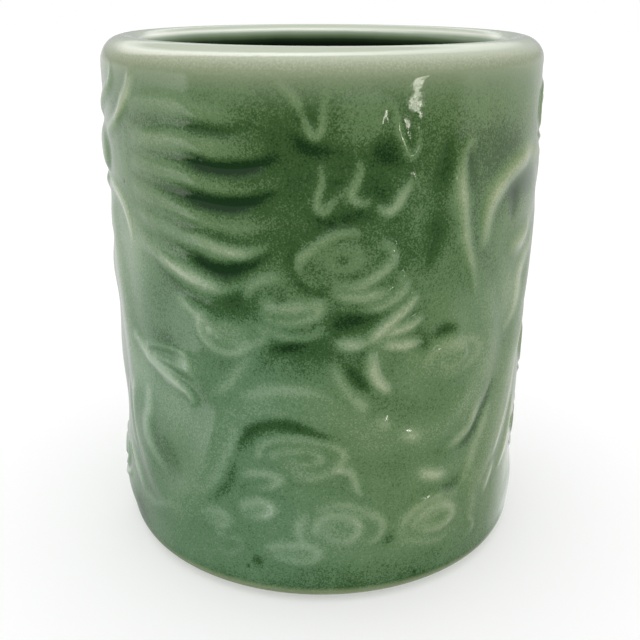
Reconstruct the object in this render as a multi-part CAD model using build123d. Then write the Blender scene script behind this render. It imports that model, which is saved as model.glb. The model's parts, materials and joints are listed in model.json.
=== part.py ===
from build123d import *

import math
import os
from collections import namedtuple

# A celadon brush pot: a straight porcelain cylinder with a broad domed lip, a bare foot ring, thin coats of
# glaze inside, outside and underneath, and raised dragons, clouds and flaming pearls round the outside.
#
# Millimetres, +Z up. The origin is the centre of the circle that the foot ring stands on, and -Y is the
# front. A place on the wall is (angle, height): degrees round from the front, positive towards +X, and
# millimetres up.

# Driving dimensions
HEIGHT = 150.6
WALL_RADIUS = 63.0  # outside of the plain glazed wall, between the raised motifs
CAVITY_RADIUS = 49.5  # inside of the glazed wall
FLOOR_THICKNESS = 10.2  # clay slab under the cavity
GLAZE = 0.65  # thickness of the coats of glaze
LIP_OUTER = (6.5, 6.5)  # width and height of the lip's outer quarter ellipse
LIP_INNER = (7.0, 6.8)  # the same for its inner one; the two widths fill the rim from wall to cavity
BASE_CORNER = 4.5  # radius of the rounded corner between the wall and the underside
FLOOR_FILLET = 3.0  # glaze pooled in the corner between the wall and the floor
FOOT_OUTER_RADIUS = 58.8
FOOT_INNER_RADIUS = 50.0
FOOT_DEPTH = 1.3  # height of the foot ring below the clay slab
FOOT_EDGE = 0.6  # chamfer of the foot ring's two standing edges
RELIEF_CLEARANCE = 0.2  # gap between the plain wall and the flat backs of the raised motifs

# Worked out from the driving dimensions
FLOOR_TOP_CLAY = FOOT_DEPTH + FLOOR_THICKNESS
CREST_RADIUS = WALL_RADIUS - LIP_OUTER[0]
RELIEF_RADIUS = WALL_RADIUS + RELIEF_CLEARANCE
MM_PER_DEGREE = math.radians(1) * WALL_RADIUS

# A stroke is one raised ridge. Its half width and height are in millimetres at its widest, and root and tip
# are the shares of them that are left at its two ends.
Stroke = namedtuple("Stroke", "points half_width height root tip", defaults=(0.35, 0.2))
STATION_SPACING = 2.0  # distance between the cross-sections that a stroke is lofted through
FEWEST_STATIONS = 7
ROOT_SHARE, TIP_SHARE = 0.2, 0.35  # shares of a stroke's length over which its two ends taper

LINE = (0.8, 0.6)  # half width and height of a thin drawn line
CLOUD = (1.0, 0.7)
TALON = (1.2, 1.0)
LOCK = (2.5, 1.1)


def line(points):
    return Stroke(points, *LINE)


def cloud_line(points):
    return Stroke(points, *CLOUD, 0.7, 0.5)


def ellipse_points(angle, height, half_angle, half_height, start=0, sweep_deg=330, shrink=0.0, count=12):
    """Points along an elliptical arc, or along a spiral if it shrinks, on the wall."""
    points = []
    for i in range(count):
        share = i / (count - 1)
        turn = math.radians(start + share * sweep_deg)
        size = 1 - shrink * share
        across, up = half_angle * size * math.cos(turn), half_height * size * math.sin(turn)
        points.append((angle + across, height + up))
    return points


def spiral(angle, height, half_angle, half_height, start=200, turns=1.5):
    """A cloud's curled centre."""
    sweep_deg, count = -360 * turns, int(14 * turns)
    return cloud_line(ellipse_points(angle, height, half_angle, half_height, start, sweep_deg, 0.62, count))


def placed(strokes, angle, height, facing=1, turn=0, scale=1.0):
    """Strokes drawn in local millimetres, turned, mirrored if facing is -1, and put on the wall."""
    cos, sin = math.cos(math.radians(turn)), math.sin(math.radians(turn))
    result = []
    for s in strokes:
        points = []
        for x, y in s.points:
            across, up = scale * facing * (x * cos - y * sin), scale * (x * sin + y * cos)
            points.append((angle + across / MM_PER_DEGREE, height + up))
        result.append(s._replace(points=points, half_width=s.half_width * scale))
    return result


# Motifs that repeat, in local millimetres
def dragon_head():
    """A dragon's head seen from the side, looking along +x, with its neck at the origin."""
    skull = Stroke([(-3, 3), (3, 7), (8, 8.6), (12, 8.4)], 5.5, 1.5, 0.6, 0.5)
    snout = Stroke([(12.4, 8.2), (18, 7.2), (26, 7.5), (31, 9.5)], 3.4, 1.4, 0.8, 0.5)
    jaw = Stroke([(5, -2), (11, -5), (18, -7), (25, -6)], 2.2, 1.2, 0.7, 0.4)
    lip = line([(8, 1.6), (14, 3), (20, 2.2), (26, 2.8), (31, 5)])
    brow = Stroke([(8, 15), (12, 17), (17, 16.4), (21, 13.8)], 1.2, 0.9)
    whisker = Stroke([(33.8, 7.2), (37, 12), (38, 18), (35, 24), (29, 26)], 1.0, 0.7, 0.8, 0.2)
    teeth = [Stroke([(x, 0.6), (x + 0.4, -1.2), (x + 0.2, -3)], 0.7, 0.6, 0.8, 0.2) for x in (13, 17.5, 22)]
    beard = [Stroke([(x, -10.2), (x - 1, -14), (x - 5, -19)], 1.3, 0.8, 0.5, 0.2) for x in (9, 14, 19)]
    horns = [
        Stroke([(5, 16), (0, 20), (-7, 23.5), (-11.7, 26), (-13.5, 29)], 1.5, 1.2, 0.8, 0.3),
        Stroke([(-5, 12), (-9, 13.5), (-15, 17), (-19, 20.5), (-22.5, 25), (-26, 29)], 1.4, 1.0, 0.8, 0.3),
    ]
    return [skull, snout, jaw, lip, brow, whisker, *teeth, *beard, *horns]


def dragon_foot():
    """A leg that rises along +y and ends in four talons: three forward, one back."""
    leg = Stroke([(5, -13), (1.5, -10), (0, -6), (0, -2.6)], 1.8, 1.2, 0.9, 0.8)
    talons = [
        [(0.6, 1.4), (4.2, 5.6), (8.8, 9), (11.4, 12.4)],
        [(4.4, 2.2), (7.2, 3.3), (10.4, 4.3), (13.3, 6.2)],
        [(3.6, -1), (6.6, -1.1), (10, -1.3), (13.3, -0.9)],
        [(-2.2, 0), (-5.6, -0.4), (-9.4, 0)],
    ]
    return [leg] + [Stroke(points, *TALON, 0.7, 0.45) for points in talons]


def curled_cloud():
    """A mushroom-headed cloud: a curl with a cap over it and two bands below."""
    curl = cloud_line(ellipse_points(0, 0, 5.5, 3.8, 200, -520, 0.62, 20))
    cap = cloud_line([(-3, -5.4), (-8.4, -2), (-7.8, 3.6), (-2, 6.8), (4, 6.4)])
    side = cloud_line([(8, 4.6), (10.4, 1.2), (8.6, -2.8), (4, -5.6), (-1, -6.6)])
    band = cloud_line([(-7, -8), (-1, -9.6), (6, -8.8), (12, -5.4)])
    return [curl, cap, side, band]


def flaming_pearl():
    """A pearl with pointed flames hanging round it, each flame drawn as an outline."""
    pearl = Stroke([(0, 5), (0, 1.5), (0, -3), (0, -8)], 5.6, 1.0, 0.6, 0.15)
    flames = [
        [(-19.5, 7.2), (-16.2, 4.5), (-13.8, 1), (-12.8, -2.7), (-11.2, -5), (-9.7, -3.3), (-8.9, 2.9),
         (-7.6, 7.8)],
        [(5.8, 3.5), (7.8, 1), (8.7, -3.3), (10.2, -7), (12.2, -10.2), (13.8, -8.2), (14.1, -5),
         (13.4, -0.8)],
        [(-9.7, -11.4), (-9.6, -15.6), (-10.6, -19.8), (-9.2, -22.8), (-7.4, -21.2), (-5, -18),
         (-3.6, -16.8)],
        [(-0.9, -10.6), (-1.5, -15.6), (-2.6, -18.8), (-0.9, -20.5), (1.6, -20.2), (3.4, -19.2)],
        [(4.4, -21.4), (6.6, -22.9), (8.6, -21.8), (10.4, -18.7), (12.8, -16)],
    ]
    return [pearl] + [line(points) for points in flames]


# The front dragon, whose head is at the left and whose tail ends high on the right
def front_dragon_body():
    path = [
        (-71, 106), (-68, 94), (-64, 80), (-60, 63), (-57.5, 46), (-52, 31), (-42, 24), (-33, 31),
        (-27.5, 45), (-19, 57.5), (-7.5, 61.8), (4, 58.6), (15, 52.5), (27, 50.5), (37, 54.5), (44, 63),
        (46, 74), (43, 86), (37, 97), (33.4, 110), (34, 127),
    ]  # fmt: skip
    return [Stroke(path, 6.4, 1.2, 0.8, 0.1)]


def front_dragon_mane():
    locks = [
        [(-51, 136), (-43.6, 136.9), (-36.9, 137), (-30.3, 136), (-22.5, 134.4), (-17, 134)],
        [(-51, 126), (-43.6, 127.9), (-35.8, 128.6), (-28, 128.2), (-19.7, 127.8), (-11.5, 128.9)],
        [(-51, 120.5), (-42.5, 120.6), (-33.6, 120), (-24.7, 119.6), (-16.9, 120.1), (-8.5, 120.4)],
        [(-51, 113.8), (-42.5, 112.8), (-33.6, 111.2), (-22.5, 110.2), (-14, 110), (-9.5, 111)],
        [(-50, 108), (-42.5, 106.4), (-35.8, 104.6), (-28, 102.6), (-21.4, 101.3), (-14.5, 102)],
        [(-49, 101), (-44, 99), (-39.2, 96.4), (-33.6, 94), (-28, 92.2), (-22.3, 89)],
    ]
    return [Stroke(points, *LOCK) for points in locks]


def front_dragon_feet():
    right_foot = placed(dragon_foot(), 11.5, 78.6)
    left_foot = [
        Stroke([(-50, 70), (-44, 71.6), (-38.5, 72), (-33.8, 71)], *TALON, 0.7, 0.45),
        Stroke([(-46.5, 68.2), (-43, 68), (-38, 67.4), (-33, 66.3)], *TALON, 0.7, 0.45),
        Stroke([(-50, 66.2), (-44.7, 64.6), (-39.2, 62.4), (-34.2, 60.4), (-32.6, 58)], *TALON, 0.7, 0.45),
    ]
    return right_foot + left_foot


def front_dragon_head():
    return placed(dragon_head(), -72, 114, facing=-1)


# The back dragon, whose tail starts low on the right and whose head faces the front dragon's at the back
def back_dragon_body():
    path = [
        (43.5, 26), (48, 36), (53.5, 48), (58.5, 60), (63, 72), (69, 84), (76, 94), (87, 101), (98, 98),
        (109, 86), (117, 68), (128, 53), (144, 47), (157, 54), (166, 72), (174, 91), (184, 104),
    ]  # fmt: skip
    return [Stroke(path, 6.6, 1.2, 0.7, 0.9)]


def back_dragon_mane():
    locks = [
        [(171, 134), (166, 134.6), (160, 133), (153, 134.4)],
        [(180, 121), (172, 121.5), (163, 119.5), (154, 121)],
        [(179, 114), (170, 112.5), (161, 109.5), (153, 110)],
        [(60, 121), (54, 119.6), (48.4, 116.8), (43.8, 112.4), (41.6, 103.5)],
        [(82, 108), (79, 116), (73, 120.5), (66, 121.6)],
        [(66, 101), (60, 98.4), (53, 99)],
    ]
    return [Stroke(points, 2.2, 1.2, 0.6, 0.3) for points in locks]


def back_dragon_feet():
    places = [(97, 119, 1, 0), (96, 63, 1, 90), (150, 75, -1, 0), (188, 80, 1, -60)]
    return [s for place in places for s in placed(dragon_foot(), *place)]


def back_dragon_head():
    return placed(dragon_head(), 194, 110)


# Clouds: the front ones follow their own outlines, and the rest repeat one cloud
def front_clouds():
    outlines = [
        [(8, 107.6), (4.4, 107.9), (0, 105.8), (-3.6, 102.8), (-5.5, 100.2), (-5, 97.2), (-2, 95)],
        [(13.4, 105), (16, 102.9), (15.6, 99.8), (12.7, 97.1), (8.5, 95), (2.4, 94.8)],
        [(3, 92.2), (7, 91.4), (11.5, 91.8), (15.9, 93)],
        [(17.8, 96.8), (19.2, 94), (17.7, 91), (13.3, 88.6), (8.8, 87.6), (4.4, 88.6)],
        [(-9.7, 96.5), (-14.7, 94.7), (-17.3, 91.6), (-17, 88.4)],
        [(-0.8, 89.6), (-1.4, 86.9), (-6.9, 84.6), (-11.4, 85), (-13.8, 87.4), (-9, 88.6), (-4, 89.4)],
        [(-12, 82.2), (-8, 80.8), (-1.9, 81.6), (2.5, 85)],
        [(-28, 84.8), (-30.4, 81), (-28.8, 77.4), (-23.5, 74.8), (-17.5, 76.6), (-13.2, 80.2), (-15, 83.2)],
        [(-15.6, 45), (-14, 49.8), (-8.6, 52.2), (-0.3, 51.6), (5.3, 48.2), (4, 44.4)],
        [(-19.5, 38.8), (-15.3, 41), (-9.8, 39.8), (-14.2, 36.4), (-18.4, 36)],
        [(-7.6, 41.4), (-3.6, 40), (1, 40.8), (5.4, 42.6), (8.2, 40), (8.8, 37), (10, 34.4)],
        [(-3.8, 29.6), (-6, 25.4), (-4.6, 21.6)],
        [(12.4, 29), (15.6, 25.6), (14.6, 21), (11.4, 18.6)],
        [(20.6, 24), (24.2, 28), (30.5, 30), (37.2, 27.6)],
        [(-19.9, 28.2), (-15.3, 32.6), (-12.3, 30.2), (-16.3, 27)],
        [(-29.4, 16.4), (-25, 18.4), (-20.4, 17), (-22.2, 13.8), (-27, 13.4)],
        [(-13.8, 17.2), (-8.6, 19), (-1.4, 17.6), (-1.6, 14.4), (-7, 13.4), (-12, 14.6)],
        [(42.6, 17.6), (44.6, 14), (41.6, 11.4)],
    ]
    curls = [(4.2, 101.4, 5.2, 3.5), (-22, 79.6, 5.2, 2.6), (-5, 46.8, 7, 2.7), (4.6, 24.4, 6.2, 5.2),
             (30.4, 22, 6.4, 4.6), (-25.4, 23.6, 2.8, 3), (32.6, 71.4, 6.2, 4)]  # fmt: skip
    return [cloud_line(points) for points in outlines] + [spiral(*curl) for curl in curls]


def back_clouds():
    places = [
        (79, 132, 1), (121, 129, -1), (141, 119, 1), (135, 97, 1), (82, 59, 1), (80, 34, -1), (101, 26, 1),
        (124, 30, -1), (148, 24, 1), (172, 36, -1), (196, 22, 1), (-152, 40, -1), (-128, 24, 1),
        (-104, 36, -1), (-82, 22, 1), (-96, 62, 1), (-122, 60, -1), (-137, 84, 1), (-112, 86, 1),
        (-150, 62, 1),
    ]  # fmt: skip
    return [s for place in places for s in placed(curled_cloud(), *place, scale=0.9)]


def pearls():
    return placed(flaming_pearl(), 8.4, 135.5) + placed(flaming_pearl(), -117, 131, scale=0.72)


# Solids
def on_wall(angle, height):
    turn = math.radians(angle)
    return Vector(RELIEF_RADIUS * math.sin(turn), -RELIEF_RADIUS * math.cos(turn), height)


def end_taper(share, stroke):
    """The share of a stroke's size that is left at a share of its length."""
    from_root = stroke.root + (1 - stroke.root) * share / ROOT_SHARE
    from_tip = stroke.tip + (1 - stroke.tip) * (1 - share) / TIP_SHARE
    return min(1.0, from_root, from_tip)


def ridge(stroke):
    """A closed solid for one stroke: D-shaped sections, flat against the wall, lofted along its path."""
    guide = Spline(*[on_wall(*point) for point in stroke.points])
    stations = max(FEWEST_STATIONS, round(guide.length / STATION_SPACING))
    sections = []
    for i in range(stations):
        share = i / (stations - 1)
        at, along = guide @ share, guide % share
        outward = Vector(at.X, at.Y, 0).normalized()
        foot = outward * RELIEF_RADIUS + Vector(0, 0, at.Z)
        size = end_taper(share, stroke)
        half, rise = stroke.half_width * size, stroke.height * (0.4 + 0.6 * size)
        outline = Line((-half, 0), (half, 0)) + ThreePointArc((half, 0), (0, rise), (-half, 0))
        sections.append(Plane(origin=foot, x_dir=outward.cross(along), z_dir=along) * make_face(outline))
    return loft(sections)


def relief(strokes):
    return Compound(children=[ridge(s) for s in strokes])


def solid_of_revolution(outline):
    """Turns an outline of (radius, height) edges, closed by the axis, into a solid."""
    return revolve(Plane.XZ * make_face(outline), Axis.Z)


def pot_outside(inset):
    """The pot as if it were solid, with every outside surface moved in by inset."""
    radius, top, bottom = WALL_RADIUS - inset, HEIGHT - inset, FOOT_DEPTH - GLAZE + inset
    lip_width, lip_height, corner = LIP_OUTER[0] - inset, LIP_OUTER[1] - inset, BASE_CORNER - inset
    return solid_of_revolution(
        Line((0, bottom), (radius - corner, bottom))
        + CenterArc((radius - corner, bottom + corner), corner, -90, 90)
        + Line((radius, bottom + corner), (radius, top - lip_height))
        + EllipticalCenterArc((radius - lip_width, top - lip_height), lip_width, lip_height, 0, arc_size=90)
        + Polyline((radius - lip_width, top), (0, top), (0, bottom))
    )


def cavity(inset):
    """The hollow for the brushes, moved into the clay by inset, and open above the lip."""
    radius, floor, top = CAVITY_RADIUS + inset, FLOOR_TOP_CLAY + GLAZE - inset, HEIGHT - inset
    lip_width, lip_height = LIP_INNER[0] - inset, LIP_INNER[1] - inset
    corner = FLOOR_FILLET if inset == 0 else GLAZE
    lip_edge = radius + lip_width
    above = HEIGHT + 1
    return solid_of_revolution(
        Line((0, floor), (radius - corner, floor))
        + CenterArc((radius - corner, floor + corner), corner, -90, 90)
        + Line((radius, floor + corner), (radius, top - lip_height))
        + EllipticalCenterArc((lip_edge, top - lip_height), lip_width, lip_height, 90, arc_size=90)
        + Polyline((lip_edge, top), (lip_edge, above), (0, above), (0, floor))
    )


def slab(radius, low, high):
    """A plain disc on the pot's axis."""
    return Pos(0, 0, low) * Cylinder(radius, high - low, align=(Align.CENTER, Align.CENTER, Align.MIN))


def clay_parts():
    clay = pot_outside(GLAZE) - cavity(GLAZE)
    below_joint = slab(WALL_RADIUS, 0, FLOOR_TOP_CLAY)
    foot = slab(FOOT_OUTER_RADIUS, 0, FOOT_DEPTH) - slab(FOOT_INNER_RADIUS, 0, FOOT_DEPTH)
    standing_edges = foot.edges().filter_by(GeomType.CIRCLE).group_by(Axis.Z)[0]
    return {
        "body_wall": clay - below_joint,
        "base_slab": clay & below_joint,
        "foot_ring": chamfer(standing_edges, FOOT_EDGE),
    }


def glaze_parts():
    skin = pot_outside(0) - cavity(0)
    clay = pot_outside(GLAZE) - cavity(GLAZE)
    under_foot = slab(FOOT_OUTER_RADIUS, 0, FOOT_DEPTH)
    coats = skin - clay - under_foot
    inside_crest = slab(CREST_RADIUS, FLOOR_TOP_CLAY, HEIGHT)
    return {
        "outer_glaze": coats - inside_crest,
        "inner_glaze": coats & inside_crest,
        "underside_glaze": slab(FOOT_INNER_RADIUS, FOOT_DEPTH - GLAZE, FOOT_DEPTH),
    }


def relief_parts():
    return {
        "front_dragon_body": relief(front_dragon_body()),
        "front_dragon_mane": relief(front_dragon_mane()),
        "front_dragon_feet": relief(front_dragon_feet()),
        "front_dragon_head": relief(front_dragon_head()),
        "back_dragon_body": relief(back_dragon_body()),
        "back_dragon_mane": relief(back_dragon_mane()),
        "back_dragon_feet": relief(back_dragon_feet()),
        "back_dragon_head": relief(back_dragon_head()),
        "front_clouds": relief(front_clouds()),
        "back_clouds": relief(back_clouds()),
        "flaming_pearls": relief(pearls()),
    }


os.makedirs("parts", exist_ok=True)
for node, shape in {**clay_parts(), **glaze_parts(), **relief_parts()}.items():
    export_step(shape, f"parts/{node}.step")
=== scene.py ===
"""The looks of the celadon brush pot: a glazed skin with soft raised dragons and clouds, a glazed inside,
a bare foot and a plain studio. A place on the wall is (angle, height): degrees round from the front,
positive towards +X, and millimetres up from the table."""

import json
import math

import bpy
import numpy as np
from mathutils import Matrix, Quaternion, Vector
from mathutils.bvhtree import BVHTree


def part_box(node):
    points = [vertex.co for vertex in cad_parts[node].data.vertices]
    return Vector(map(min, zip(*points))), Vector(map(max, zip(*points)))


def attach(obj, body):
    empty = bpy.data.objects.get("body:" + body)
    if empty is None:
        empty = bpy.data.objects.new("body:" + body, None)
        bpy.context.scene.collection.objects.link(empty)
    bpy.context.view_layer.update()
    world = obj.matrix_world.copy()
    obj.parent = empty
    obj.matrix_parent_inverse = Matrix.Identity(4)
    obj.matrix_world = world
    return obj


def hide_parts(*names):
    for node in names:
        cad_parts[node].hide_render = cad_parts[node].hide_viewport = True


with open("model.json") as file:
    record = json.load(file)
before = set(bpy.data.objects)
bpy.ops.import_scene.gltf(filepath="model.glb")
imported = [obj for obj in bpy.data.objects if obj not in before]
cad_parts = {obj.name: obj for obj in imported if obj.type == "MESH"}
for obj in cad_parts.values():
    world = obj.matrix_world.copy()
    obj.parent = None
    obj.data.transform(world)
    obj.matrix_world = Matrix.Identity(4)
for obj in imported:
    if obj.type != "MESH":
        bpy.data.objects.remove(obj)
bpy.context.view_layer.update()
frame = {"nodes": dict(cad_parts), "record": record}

MM = 0.001

# Sizes from the frame, in millimetres
MOUTH = next(m for m in frame["record"]["mounts"] if m["name"] == "mouth")
OUTER_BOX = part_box("outer_glaze")
WALL_RADIUS = OUTER_BOX[1].x / MM
HEIGHT = OUTER_BOX[1].z / MM
GLAZE_BOTTOM = OUTER_BOX[0].z / MM
CREST_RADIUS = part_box("inner_glaze")[1].x / MM
FOOT_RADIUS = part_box("foot_ring")[1].x / MM
CAVITY_RADIUS = MOUTH["dims"]["r_mm"]

# Sizes in millimetres that the frame's boxes don't show, the same as in the part
GLAZE = 0.65  # the thickness of the coats of glaze
LIP_OUTER = (WALL_RADIUS - CREST_RADIUS, 6.5)  # width and height of the lip's outer quarter ellipse
LIP_INNER = (CREST_RADIUS - CAVITY_RADIUS, 6.8)  # and of its inner one
BASE_CORNER = 4.5  # radius
FLOOR_FILLET = 3.0  # radius
FLOOR_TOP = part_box("inner_glaze")[0].z / MM + GLAZE

# The map of the wall: one value per row and column, with rows going up and columns going round from the back
COLUMNS = 800
STEP = 2 * math.pi * WALL_RADIUS / COLUMNS
ROWS = round(HEIGHT / STEP) + 1
MM_PER_DEGREE = math.radians(1) * WALL_RADIUS
ANGLES = -180 + 360 * np.arange(COLUMNS) / COLUMNS
HEIGHTS = HEIGHT * np.arange(ROWS) / (ROWS - 1)
ROW_STEP = HEIGHTS[1]

# How the CAD's dragons show through the glaze: (part, share of its height, softness in millimetres)
DRAGON_PARTS = [
    ("dragon_body", 0.75, 2.4),
    ("dragon_mane", 0.6, 1.3),
    ("dragon_head", 0.8, 0.8),
    ("dragon_feet", 0.7, 0.6),
]
RELIEF_NODES = [f"{side}_{part}" for side in ("front", "back") for part, _, _ in DRAGON_PARTS]
RELIEF_NODES += ["front_clouds", "back_clouds", "flaming_pearls"]


# Maps of the wall
def blank():
    return np.zeros((ROWS, COLUMNS))


def blur(wall, sigma):
    """Softens a map by a Gaussian of sigma millimetres, which wraps round and ends at the rim and foot."""
    tall = np.concatenate([wall[::-1], wall, wall[::-1]])
    up = np.fft.fftfreq(len(tall), ROW_STEP)[:, None]
    round_ = np.fft.rfftfreq(COLUMNS, STEP)[None, :]
    keep = np.exp(-2 * (math.pi * sigma) ** 2 * (up**2 + round_**2))
    return np.fft.irfft2(np.fft.rfft2(tall) * keep, tall.shape)[ROWS : 2 * ROWS]


LOOK_FROM = 10.0  # millimetres outside the plain wall
LOOK_DEPTH = 10.9


def node_heights(*nodes):
    """How far CAD nodes stand out of the plain wall, found by looking inwards at them from all round."""
    heights = blank()
    for node in nodes:
        mesh = frame["nodes"][node].data
        tree = BVHTree.FromPolygons([v.co for v in mesh.vertices], [p.vertices for p in mesh.polygons])
        low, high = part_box(node)
        inside = (HEIGHTS * MM >= low.z) & (HEIGHTS * MM <= high.z)
        away = (WALL_RADIUS + LOOK_FROM) * MM
        for column, angle in enumerate(np.radians(ANGLES)):
            outward = Vector((math.sin(angle), -math.cos(angle), 0))
            for row in np.flatnonzero(inside):
                start = outward * away + Vector((0, 0, HEIGHTS[row] * MM))
                hit = tree.ray_cast(start, -outward, LOOK_DEPTH * MM)
                if hit[0] is not None:
                    stands = (away - hit[3]) / MM - WALL_RADIUS
                    heights[row, column] = max(heights[row, column], stands)
    return heights


PATH_SPACING = 0.35  # millimetres


def smooth_path(points):
    """A Catmull-Rom curve through places on the wall, as (n, 2) millimetres across and up."""
    p = np.array([(a * MM_PER_DEGREE, z) for a, z in points], float)
    p = np.vstack([2 * p[0] - p[1], p, 2 * p[-1] - p[-2]])
    pieces = []
    for a, b, c, d in zip(p, p[1:], p[2:], p[3:]):
        n = max(2, int(np.hypot(*(c - b)) / PATH_SPACING))
        t = np.linspace(0, 1, n, endpoint=False)[:, None]
        twice = 2 * b + (c - a) * t + (2 * a - 5 * b + 4 * c - d) * t**2 + (3 * b - a - 3 * c + d) * t**3
        pieces.append(twice / 2)
    pieces.append(p[-2][None, :])
    return np.vstack(pieces)


TIP = 0.25  # the width of a line's far end, as a share
WIDENS_OVER = (0.25, 0.35)  # the shares of its length over which a line widens from its near and its far end
LINE_REACH = 2.6  # where a line has faded out, in half widths
NARROW_STRENGTH = 0.4  # the strength that is left where a line is narrowest, as a share


def draw(wall, points, half_width, amount, root):
    """Draws a soft-edged line on a map, narrower at its ends, and keeps the larger value where lines meet."""
    path = smooth_path(points)
    share = np.linspace(0, 1, len(path))
    from_root = root + (1 - root) * share / WIDENS_OVER[0]
    from_tip = TIP + (1 - TIP) * (1 - share) / WIDENS_OVER[1]
    size = np.minimum(1, np.minimum(from_root, from_tip))
    reach = LINE_REACH * half_width
    rows = np.flatnonzero((HEIGHTS > path[:, 1].min() - reach) & (HEIGHTS < path[:, 1].max() + reach))
    first = math.floor((path[:, 0].min() - reach) / STEP)
    last = math.ceil((path[:, 0].max() + reach) / STEP)
    columns = np.arange(first, last + 1)
    across = columns * STEP
    gap_x = across[None, :, None] - path[None, None, :, 0]
    gap_z = HEIGHTS[rows][:, None, None] - path[None, None, :, 1]
    distance = np.hypot(gap_x, gap_z)
    nearest = distance.argmin(axis=2)
    near = np.take_along_axis(distance, nearest[..., None], axis=2)[..., 0]
    width = size[nearest]
    strength = amount * (NARROW_STRENGTH + (1 - NARROW_STRENGTH) * width)
    value = strength * np.exp(-((near / (half_width * width)) ** 2))
    place = np.ix_(rows, (columns + COLUMNS // 2) % COLUMNS)
    wall[place] = np.maximum(wall[place], value)


def hump(wall, angle, height, half_angle, half_height, amount):
    """Adds a soft oval patch to a map."""
    across = ((ANGLES[None, :] - angle + 180) % 360 - 180) / half_angle
    up = (HEIGHTS[:, None] - height) / half_height
    wall += amount * np.exp(-(across**2) - up**2)


# What the skin adds to the CAD's raised motifs. A line is (points, half width in millimetres, strength).
MANE_GROOVES = [
    ([(-44, 130), (-36, 131.4), (-29.8, 131.8), (-22.5, 131.6), (-15, 133.4)], 1.7, 0.75),
    ([(-38, 124.2), (-32, 123.6), (-27, 122.9), (-22.5, 122.4), (-16, 123.4), (-10, 126)], 1.7, 1.3),
    ([(-42, 116), (-36, 115.4), (-29.7, 114.4), (-22.5, 113.6), (-16.9, 114.6), (-10.4, 117.4)], 1.7, 1.3),
    ([(-38, 107.8), (-31, 106.2), (-24, 104.6), (-17.5, 104.6), (-12, 106.6)], 1.0, 0.3),
    ([(-36, 101.6), (-31, 99.4), (-26.5, 97.4), (-21.5, 97.2), (-16, 99.4), (-11, 102.4)], 1.7, 1.3),
    ([(-45, 96.6), (-39, 92.2), (-33.6, 88.8), (-28, 86.6), (-23.4, 84.8)], 1.3, 0.7),
]  # fmt: skip
MANE_RIDGES = [
    ([(-30, 126), (-24, 125.2), (-17, 125.8), (-11, 128)], 0.9, 0.25),
    ([(-32, 118.2), (-24, 117.2), (-16, 117.8), (-9.5, 119.6)], 1.0, 0.4),
    ([(-31, 105.4), (-24, 102.8), (-18, 101.9), (-12.6, 103.8)], 1.1, 0.9),
    ([(-34, 110.4), (-26, 108.4), (-18, 108), (-10.6, 109.6)], 1.0, 0.45),
    ([(-41, 97.4), (-34, 94.6), (-28, 92.8), (-23.4, 91.8), (-18.6, 93.4), (-16.6, 95)], 1.3, 0.95),
    ([(-37, 87.6), (-32, 84.4), (-28, 81.6), (-24.6, 78.6)], 1.3, 0.6),
]  # fmt: skip
HEAD_LINES = [
    ([(-48.6, 146), (-49.7, 142.1), (-50.8, 139), (-53.6, 135.9), (-55.8, 133.4), (-58.6, 131)], 1.5, 1.3),
    ([(-60.7, 145), (-61.6, 142), (-62.4, 138.6)], 1.0, 0.5),
    ([(-69.7, 112.8), (-64, 111.4), (-59.7, 109.6), (-57, 107), (-55.3, 103.3), (-54.2, 99.6)], 1.4, 1.4),
]  # fmt: skip
FLAME_LINES = [
    ([(-9.4, 142.7), (-6.4, 140), (-4.2, 136.5), (-3.3, 132.8), (-1.7, 130.5), (-0.3, 132.2), (0.4, 138.4),
      (1.6, 143.3)], 0.75, 0.85),
    ([(13.8, 139), (15.5, 136.5), (16.3, 132.2), (17.7, 128.5), (19.4, 125.3), (20.8, 127.3),
      (21.1, 130.4), (20.5, 134.7)], 0.75, 0.6),
    ([(-0.3, 124.2), (-0.2, 119.9), (-1.2, 115.6), (0, 112.8), (1.6, 114.4), (3.8, 117.4),
      (5.2, 118.7)], 0.8, 0.85),
    ([(7.7, 125.1), (8.2, 123), (7.2, 119.9), (6.3, 116.8), (8, 115.1), (10, 115.3),
      (11.6, 116.2)], 0.85, 0.9),
    ([(12.2, 113.9), (14.4, 112.8), (16.1, 113.8), (17.7, 116.8), (20.4, 120.4)], 1.0, 1.2),
]  # fmt: skip
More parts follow.
